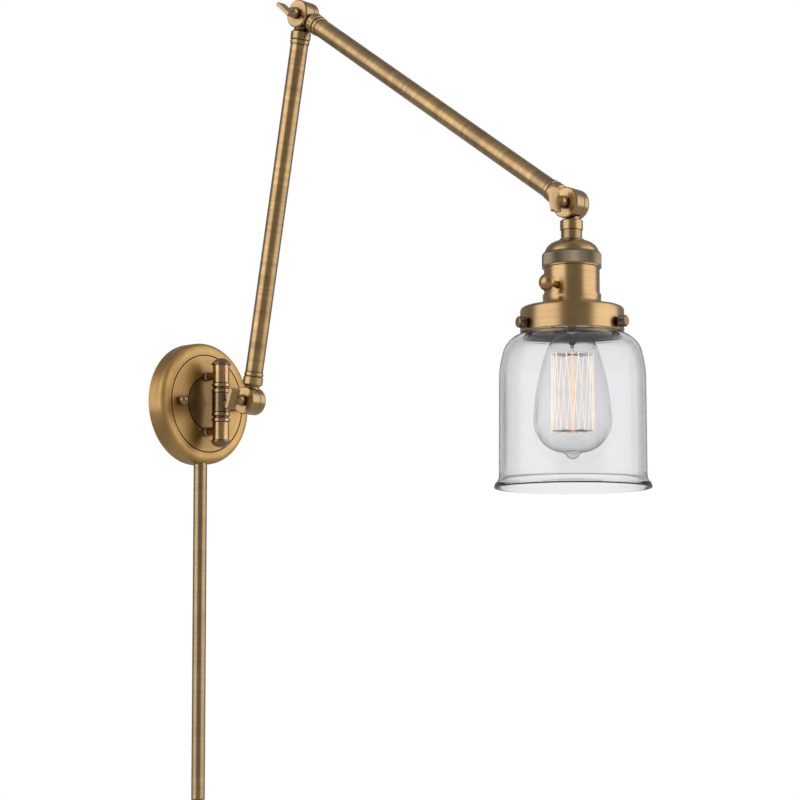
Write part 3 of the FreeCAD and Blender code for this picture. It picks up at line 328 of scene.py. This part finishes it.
finish_node("mounting_bar", plated_steel("zinc_plated_steel_bar"))
finish_node("canopy_studs", plated_steel("zinc_plated_steel_stud", pitch_mm=0.7, axis=1))
finish_node("standoff_nuts", plated_steel("zinc_plated_steel_nut"))
finish_node("ground_screw", plated_steel("green_chromate_steel", "#2f7a3d", "#1d5529", 0.42))

# Turned brass ball nuts on the studs, the only part of the fixing that is seen from the room.
finish_node("ball_nuts", brushed_brass("turned_brass_ball_nut", tone="#a8814a", rough=0.26,
                                         streak=0.1))


# ---------------------------------------------------------------- supply leads
# Twist-on connectors of ribbed orange plastic over pairs of insulated leads, one dark and one
# pale. The leads are extruded vinyl, smooth and slightly waxy.
HANDLED_MM = 3.0                    # patches where handling has dulled the vinyl
CANOPY_LEADS_X = -0.0235            # half way between the two leads in the canopy


def insulated_lead(name, split_x):
    """Dark insulation on one lead and pale on the other, told apart by their place."""
    made = bpy.data.materials.new(name)
    made.use_nodes = True
    tree = made.node_tree
    vinyl = tree.nodes["Principled BSDF"]
    where = add(tree, "ShaderNodeTexCoord").outputs["Object"]
    side = add(tree, "ShaderNodeSeparateXYZ", {0: where}).outputs["X"]
    pale = add(tree, "ShaderNodeMath", {0: side, 1: split_x}, operation="GREATER_THAN")
    dust = add(tree, "ShaderNodeTexNoise", {"Vector": where, "Scale": 1000 / HANDLED_MM, "Detail": 3.0})
    colour = add(tree, "ShaderNodeMix", {0: pale.outputs[0], 6: linear("#1c1c1d"),
                                         7: linear("#d9d6cd")}, data_type="RGBA")
    tree.links.new(colour.outputs[2], vinyl.inputs["Base Color"])
    worn = add(tree, "ShaderNodeMapRange", {0: dust.outputs[0], 3: 0.35, 4: 0.6})
    tree.links.new(worn.outputs[0], vinyl.inputs["Roughness"])
    return made


finish_node("canopy_leads", insulated_lead("vinyl_canopy_leads", CANOPY_LEADS_X))
for node in ("lower_arm_leads", "upper_arm_leads", "socket_leads"):
    finish_node(node, insulated_lead("vinyl_" + node, 0.0))


PEEL_MM, FLOW_MM = 0.7, 9.0         # orange-peel skin, and clouds where the plastic flowed in


def moulded_plastic(name, tone, rough=0.45):
    """Moulded plastic with a faint orange-peel skin."""
    made = bpy.data.materials.new(name)
    made.use_nodes = True
    tree = made.node_tree
    plastic = tree.nodes["Principled BSDF"]
    where = add(tree, "ShaderNodeTexCoord").outputs["Object"]
    peel = add(tree, "ShaderNodeTexNoise", {"Vector": where, "Scale": 1000 / PEEL_MM, "Detail": 2.0})
    flow = add(tree, "ShaderNodeTexNoise",
               {"Vector": where, "Scale": 1000 / FLOW_MM, "Detail": 3.0})
    darker = [c * 0.7 for c in linear(tone)[:3]] + [1.0]
    colour = add(tree, "ShaderNodeMix", {0: flow.outputs[0], 6: linear(tone), 7: darker},
                 data_type="RGBA")
    tree.links.new(colour.outputs[2], plastic.inputs["Base Color"])
    bump = add(tree, "ShaderNodeBump", {"Strength": 0.1, "Distance": 0.0001,
                                        "Height": peel.outputs[0]})
    tree.links.new(bump.outputs[0], plastic.inputs["Normal"])
    plastic.inputs["Roughness"].default_value = rough
    return made


TOOTH = (0.0, 0.55, 1.0, 0.55)      # depth of the cut at four places across one tooth


def ribbed_turning(name, rows, centre, axis, teeth, depth, ribbed, caps=()):
    """Turned mesh from (radius, height) rows in mm. Rows named in ribbed carry cut teeth."""
    steps = teeth * len(TOOTH)
    points, faces = [], []
    for step in range(steps):
        angle = 2 * math.pi * step / steps
        cut = TOOTH[step % len(TOOTH)] * depth
        for index, (radius, rise) in enumerate(rows):
            reach = radius - cut if index in ribbed else radius
            points.append((reach * math.cos(angle), reach * math.sin(angle), rise))
    wide = len(rows)
    shades = []
    for step in range(steps):
        for index in range(wide):
            after, beside = (index + 1) % wide, (step + 1) % steps
            faces.append((step * wide + index, beside * wide + index,
                          beside * wide + after, step * wide + after))
            shades.append(1 if index in caps else 0)
    mesh = bpy.data.meshes.new(name)
    mesh.from_pydata([tuple(c * 0.001 for c in p) for p in points], [], faces)
    mesh.polygons.foreach_set("material_index", shades)
    spin = Vector(axis).to_track_quat("Z", "X").to_matrix().to_4x4()
    mesh.transform(Matrix.Translation(centre) @ spin)
    mesh.update()
    made = bpy.data.objects.new(name, mesh)
    bpy.context.scene.collection.objects.link(made)
    return made


CONNECTOR_SPOTS = ((-0.030, -0.009, 0.022), (-0.017, -0.009, 0.026))
CONNECTOR_RIBS, CONNECTOR_RIB_MM = 12, 0.5
connector_rows = [(0.3, 0.0), (4.2, 0.0), (4.2, 3.0), (3.5, 12.6), (2.4, 14.0), (0.3, 14.0)]
orange = moulded_plastic("moulded_orange_connector", "#c9601f")
for number, spot in enumerate(CONNECTOR_SPOTS, start=1):
    cap = ribbed_turning("wire_connector_%d" % number, connector_rows, spot, (0, 0, 1),
                         CONNECTOR_RIBS, CONNECTOR_RIB_MM, (2, 3))
    cap.data.materials.append(orange)
    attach(cap, "wall_side")
    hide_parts("wire_connectors")


# ---------------------------------------------------------------- hinge post
# Two brass standoffs hold a vertical post of turned barrels on a hollow steel pin. Each barrel
# has a raised ring at its inner end and a domed cap at its outer end.
POST = (0.0, -0.0373, -0.0006)
UPRIGHT = (0.0, 0.0, 1.0)
BARREL_MM = 12.0                                    # every barrel is inside this radius
RING_CREASES_MM = ((17.7, 18.5), (35.0, 35.4))      # from the post's middle, up and down
finish_node("standoffs", brushed_brass("turned_brass_standoff", tone="#caa468", streak=0.1))
for node, side in (("upper_barrel", 1), ("lower_barrel", -1)):
    creases = [(min(side * near, side * far), max(side * near, side * far), 0.0, BARREL_MM, CREASE)
               for near, far in RING_CREASES_MM]
    finish_node(node, brushed_brass("turned_brass_" + node, POST, UPRIGHT, tone="#c9a262",
                                    rough=0.31, line_mm=3.0, zones=creases))
finish_node("post_caps", brushed_brass("dark_patina_post_cap", POST, UPRIGHT, tone="#93693c",
                                       shade="#3d2713", rough=0.34))
finish_node("post_washers", brushed_brass("dark_patina_washer", POST, UPRIGHT, tone="#6b4c2a",
                                          shade="#2d1d0e", rough=0.4))
finish_node("hinge_pin", plated_steel("plated_steel_pin", pitch_mm=0.8))


# ---------------------------------------------------------------- cord cover tube
# Straight drawn-brass tube that hides the lead below the canopy, clamped by a collar inside
# the rim, its mouth lined with a black plastic bushing.
TUBE_FOOT = (0.0, -0.0102, -0.2)        # a point on the tube's centre line
finish_node("cord_tube", brushed_brass("drawn_brass_cord_tube", TUBE_FOOT, UPRIGHT,
                                       tone="#a98a55", rough=0.33, streak=0.25, line_mm=4.0))
finish_node("cord_tube_collar", brushed_brass("turned_brass_collar", TUBE_FOOT, UPRIGHT))
finish_node("cord_tube_bushing", moulded_plastic("moulded_black_bushing", "#232323", 0.5))


# ---------------------------------------------------------------- swivel and knuckles
# The middle barrel turns on the pin and carries the first knuckle on a tapered neck. A knuckle
# is two turned brass discs, one on each part it joins, clamped by a spade-headed screw.
SHOULDER, ELBOW, LAMP = (Vector((0.0, -0.0757, -0.0019)), Vector((0.0, -0.142, 0.3486)),
                         Vector((0.0, -0.4451, 0.1323)))
SIDEWAYS = (1.0, 0.0, 0.0)
SWIVEL_HALF_MM, SWIVEL_LIP_MM, BROWN = 8.8, 9.6, "#8a6a45"
finish_node("swivel_barrel", brushed_brass(
    "brown_brass_swivel", POST, UPRIGHT, rough=0.32,
    zones=[(-SWIVEL_HALF_MM, SWIVEL_HALF_MM, 0.0, BARREL_MM, BROWN),
           (SWIVEL_HALF_MM, SWIVEL_LIP_MM, 0.0, BARREL_MM, CREASE),
           (-SWIVEL_LIP_MM, -SWIVEL_HALF_MM, 0.0, BARREL_MM, CREASE)]))
# Knuckles take a wider recess reach, so painted shade and grime spread further around each joint.
finish_node("shoulder_knuckle", brushed_brass("turned_brass_shoulder_knuckle", tuple(SHOULDER),
                                              SIDEWAYS, recess_mm=8.0, clean_and_lit=0.85))
for node, pivot in (("lower_arm_start_knuckle", SHOULDER), ("lower_arm_end_knuckle", ELBOW),
                    ("upper_arm_start_knuckle", ELBOW), ("upper_arm_end_knuckle", LAMP),
                    ("lamp_knuckle", LAMP)):
    finish_node(node, brushed_brass("turned_brass_" + node, tuple(pivot), SIDEWAYS,
                                    recess_mm=8.0, clean_and_lit=0.85))

# Spade-headed clamping screws, cast and tumbled smooth.
# A wider recess reach gives them painted shade and grime where they sit against the knuckles.
for node, pivot in (("shoulder_wing_screw", SHOULDER), ("elbow_wing_screw", ELBOW),
                    ("lamp_wing_screw", LAMP)):
    finish_node(node, brushed_brass("tumbled_brass_" + node, tone="#b38b50", rough=0.27,
                                    recess_mm=8.0, clean_and_lit=0.95))


# ---------------------------------------------------------------- arms
# Two arms of drawn brass tube, brushed in rings on a lathe, with a ferrule at each end.
SEAMS_MM, SEAM_HALF_MM = (22.9, 27.1), 0.55     # the grooves of each collar, from its pivot
for prefix, begin, end in (("lower_arm", SHOULDER, ELBOW), ("upper_arm", ELBOW, LAMP)):
    axis = tuple((end - begin).normalized())
    span = (end - begin).length * 1000
    places = list(SEAMS_MM) + [span - seam for seam in SEAMS_MM]
    seams = [(place - SEAM_HALF_MM, place + SEAM_HALF_MM, 0.0, BARREL_MM, CREASE)
             for place in places]
    finish_node(prefix + "_tube", brushed_brass("drawn_brass_" + prefix, tuple(begin), axis,
                                                rough=0.3, streak=0.45, line_mm=4.5,
                                                zones=seams))
    finish_node(prefix + "_ferrules", brushed_brass("turned_brass_ferrule_" + prefix,
                                                    tuple(begin), axis, rough=0.26))


# ---------------------------------------------------------------- lamp holder
# Spun brass cap and shell joined by a knurled ring, on a bushing and a threaded steel nipple.
# Inside are a fibre liner, a black resin core and the screw shell for the bulb. The knurl's
# teeth are 0.85 mm apart, drawn as fine as they are; the toothed band is painted a duller
# grey-brown than its lips, partly grime and partly painted shade among the teeth.
HEAD = tuple(LAMP)
finish_node("holder_bushing", brushed_brass("dull_brass_bushing", HEAD, UPRIGHT,
                                            tone="#a48655", shade="#5b4526", rough=0.4))
finish_node("holder_cap", brushed_brass("spun_brass_holder_cap", HEAD, UPRIGHT, rough=0.3))
finish_node("holder_shell", brushed_brass("spun_brass_holder_shell", HEAD, UPRIGHT, rough=0.3))
finish_node("threaded_nipple", plated_steel("plated_steel_nipple", pitch_mm=0.94))

KNURL_TEETH, KNURL_MM = 180, 0.2
knurl_rows = [(22.35, -40.7), (23.05, -40.7), (24.3, -42.3), (24.3, -42.7), (24.3, -51.6),
              (24.0, -52.0), (24.35, -52.4), (24.35, -52.9), (24.0, -53.3), (22.78, -53.3),
              (22.78, -43.7), (22.35, -43.7)]
knurl = ribbed_turning("knurled_ring_teeth", knurl_rows[::-1], HEAD, (0, 0, 1), KNURL_TEETH,
                       KNURL_MM, (7, 8), caps=(3, 4, 5))
knurl.data.materials.append(brushed_brass("grey_brown_grime_and_shade_knurl", HEAD, UPRIGHT,
                                          tone="#86704a", shade="#5a4830", rough=0.45))
knurl.data.materials.append(brushed_brass("bright_brass_knurl_lip", HEAD, UPRIGHT, rough=0.3))
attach(knurl, "lamp_head")
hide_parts("knurled_ring")


FIBRE_MM = 1.2


def pressed_fibre(name, tone, fibre):
    """Pressed grey-brown fibre card with short strands."""
    made = bpy.data.materials.new(name)
    made.use_nodes = True
    tree = made.node_tree
    card = tree.nodes["Principled BSDF"]
    where = add(tree, "ShaderNodeTexCoord").outputs["Object"]
    strand = add(tree, "ShaderNodeTexNoise", {"Vector": where, "Scale": 1000 / FIBRE_MM,
                                              "Detail": 6.0, "Distortion": 1.5})
    colour = add(tree, "ShaderNodeMix", {0: strand.outputs[0], 6: linear(tone), 7: linear(fibre)},
                 data_type="RGBA")
    tree.links.new(colour.outputs[2], card.inputs["Base Color"])
    bump = add(tree, "ShaderNodeBump", {"Strength": 0.3, "Distance": 0.0001,
                                        "Height": strand.outputs[0]})
    tree.links.new(bump.outputs[0], card.inputs["Normal"])
    card.inputs["Roughness"].default_value = 0.85
    return made


finish_node("insulating_liner", pressed_fibre("pressed_fibre_liner", "#6f6354", "#4c4238"))
finish_node("holder_core", moulded_plastic("phenolic_resin_core", "#1d1b1a", 0.35))
finish_node("screw_shell", brushed_brass("pressed_brass_screw_shell", HEAD, UPRIGHT))
finish_node("centre_contact", brushed_brass("brass_contact_strip"))
finish_node("switch_knob", brushed_brass("turned_brass_knob", tone="#bb9250", rough=0.30))


# ---------------------------------------------------------------- shade holder
# Spun brass cup under the lamp holder. Three thumb screws with ribbed heads pinch the neck of
# the glass; their ribbed sides are painted dark, partly patina and partly painted shade among the
# ribs, and their ends are worn bright.
CUP_INSIDE_SHADE = "#1d1b19"      # painted shade: the inside of the cup is painted near black
finish_node("shade_gallery", brushed_brass(
    "spun_brass_shade_holder", HEAD, UPRIGHT, rough=0.32,
    zones=[(-107.5, -89.0, 0.0, 41.8, CUP_INSIDE_SHADE), (-89.0, -87.4, 0.0, 41.0, CUP_INSIDE_SHADE),
           (-87.4, -86.3, 0.0, 38.8, CUP_INSIDE_SHADE)]))
SCREW_DROP = Vector((0.0, 0.0, -0.1006))
screw_rows = [(0.2, 38.75), (1.5, 38.75), (2.0, 39.25), (2.0, 44.0), (4.3, 44.0), (4.7, 44.5),
              (4.7, 49.4), (4.2, 50.2), (3.6, 50.7), (0.2, 50.7)]
patina_and_shade_side = brushed_brass("patina_and_shade_thumb_screw_side", tone="#5f4728", shade="#2c1e10", rough=0.42)
bright_end = brushed_brass("worn_brass_screw_end", tone="#b78a5c", rough=0.33, streak=0.2)
SCREW_RIBS, SCREW_RIB_MM = 26, 0.35
for word, letter, angle in (("front", "a", -83.5), ("right", "b", 36.5), ("left", "c", 156.5)):
    out = (math.cos(math.radians(angle)), math.sin(math.radians(angle)), 0.0)
    screw = ribbed_turning("thumb_screw_" + word, screw_rows, LAMP + SCREW_DROP, out,
                           SCREW_RIBS, SCREW_RIB_MM, (5, 6), caps=(7, 8))
    screw.data.materials.append(patina_and_shade_side)
    screw.data.materials.append(bright_end)
    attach(screw, "shade_screw_" + letter)
    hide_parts("shade_screw_" + word)


# ---------------------------------------------------------------- glass shade
# Clear soda-lime glass bell, blown in a mould and fire polished: very smooth, with slow waves
# in its walls and a faint grey in its thickness.
def clear_glass(name, tint, edge_shade, wave_mm, wave, rough=0.0, thickness_loss=0.0):
    """Clear glass with slow waves: painted shade at grazing views, and a faint grey in its thickness.
    """
    made = bpy.data.materials.new(name)
    made.use_nodes = True
    tree = made.node_tree
    glass = tree.nodes["Principled BSDF"]
    where = add(tree, "ShaderNodeTexCoord").outputs["Object"]
    ripple = add(tree, "ShaderNodeTexNoise", {"Vector": where, "Scale": 1000 / wave_mm,
                                              "Detail": 1.0})
    bump = add(tree, "ShaderNodeBump", {"Strength": wave, "Distance": 0.001,
                                        "Height": ripple.outputs[0]})
    tree.links.new(bump.outputs[0], glass.inputs["Normal"])
    # Painted shade: the tint darkens towards grazing views of the walls.
    graze = add(tree, "ShaderNodeLayerWeight", {"Blend": 0.5}).outputs["Facing"]
    graze = add(tree, "ShaderNodeMath", {0: graze, 1: 3.0}, operation="POWER").outputs[0]
    seen = add(tree, "ShaderNodeMix", {0: graze, 6: linear(tint), 7: linear(edge_shade)},
               data_type="RGBA")
    tree.links.new(seen.outputs[2], glass.inputs["Base Color"])
    glass.inputs["Roughness"].default_value = rough
    glass.inputs["Transmission Weight"].default_value = 1.0
    glass.inputs["IOR"].default_value = 1.5
    if thickness_loss:
        body = add(tree, "ShaderNodeVolumeAbsorption", {"Color": linear("#8f9296"),
                                                        "Density": thickness_loss})
        tree.links.new(body.outputs[0], tree.nodes["Material Output"].inputs["Volume"])
    return made


finish_node("glass_shade", clear_glass("blown_clear_glass", "#f5f5f6", "#262628", 35.0, 0.03,
                                       thickness_loss=14.0))


# ---------------------------------------------------------------- bulb
# Long pear-shaped bulb: thin blown glass on a nickel-brass screw cap, with a glass stem that
# carries a zigzag of glowing wire on small hooks.
finish_node("bulb_glass", clear_glass("thin_blown_bulb_glass", "#fbfbfc", "#55534f",
                                      25.0, 0.02))

# Painted light: the stem's flare is clear, and its rod glows orange between the wires as if lit by the
# filament.
stem_glass = clear_glass("bulb_stem_glass", "#efe6da", "#6a5a48", 8.0, 0.05)
tree = stem_glass.node_tree
where = add(tree, "ShaderNodeTexCoord").outputs["Object"]
drop = add(tree, "ShaderNodeSeparateXYZ", {0: where}).outputs["Z"]
ROD_TOP, ROD_FADE, ROD_PAINTED_GLOW = LAMP.z - 0.121, 0.002, 0.3
painted_rod_glow = add(tree, "ShaderNodeMapRange", {0: drop, 1: ROD_TOP, 2: ROD_TOP - ROD_FADE,
                                         3: 0.0, 4: ROD_PAINTED_GLOW})
tree.links.new(painted_rod_glow.outputs[0], tree.nodes["Principled BSDF"].inputs["Emission Strength"])
tree.nodes["Principled BSDF"].inputs["Emission Color"].default_value = linear("#f0a050")
finish_node("bulb_stem", stem_glass)
finish_node("bulb_cap", plated_steel("pressed_nickel_brass_cap", "#b7b2a4", "#8d8676", 0.3))
finish_node("bulb_contact", plated_steel("solder_contact", "#9a9892", "#6f6d68", 0.45))
finish_node("filament_hooks", plated_steel("bare_hook_wire", "#8a8782", "#5e5b56", 0.4))

# The wire is thin drawn carbon, cream where it glows and nearly white where it runs hotter.
HOT_SPOT_MM, WIRE_GLOW = 6.0, 1.2
hot = bpy.data.materials.new("glowing_carbon_wire")
hot.use_nodes = True
tree = hot.node_tree
wire = tree.nodes["Principled BSDF"]
where = add(tree, "ShaderNodeTexCoord").outputs["Object"]
uneven = add(tree, "ShaderNodeTexNoise", {"Vector": where, "Scale": 1000 / HOT_SPOT_MM, "Detail": 2.0})
heat = add(tree, "ShaderNodeMix", {0: uneven.outputs[0], 6: linear("#ffe3c2"),
                                   7: linear("#fff6ea")}, data_type="RGBA")
tree.links.new(heat.outputs[2], wire.inputs["Emission Color"])
wire.inputs["Base Color"].default_value = linear("#3a2a20")
wire.inputs["Emission Strength"].default_value = WIRE_GLOW
finish_node("filament", hot)


# ---------------------------------------------------------------- bounds of the object
low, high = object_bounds()
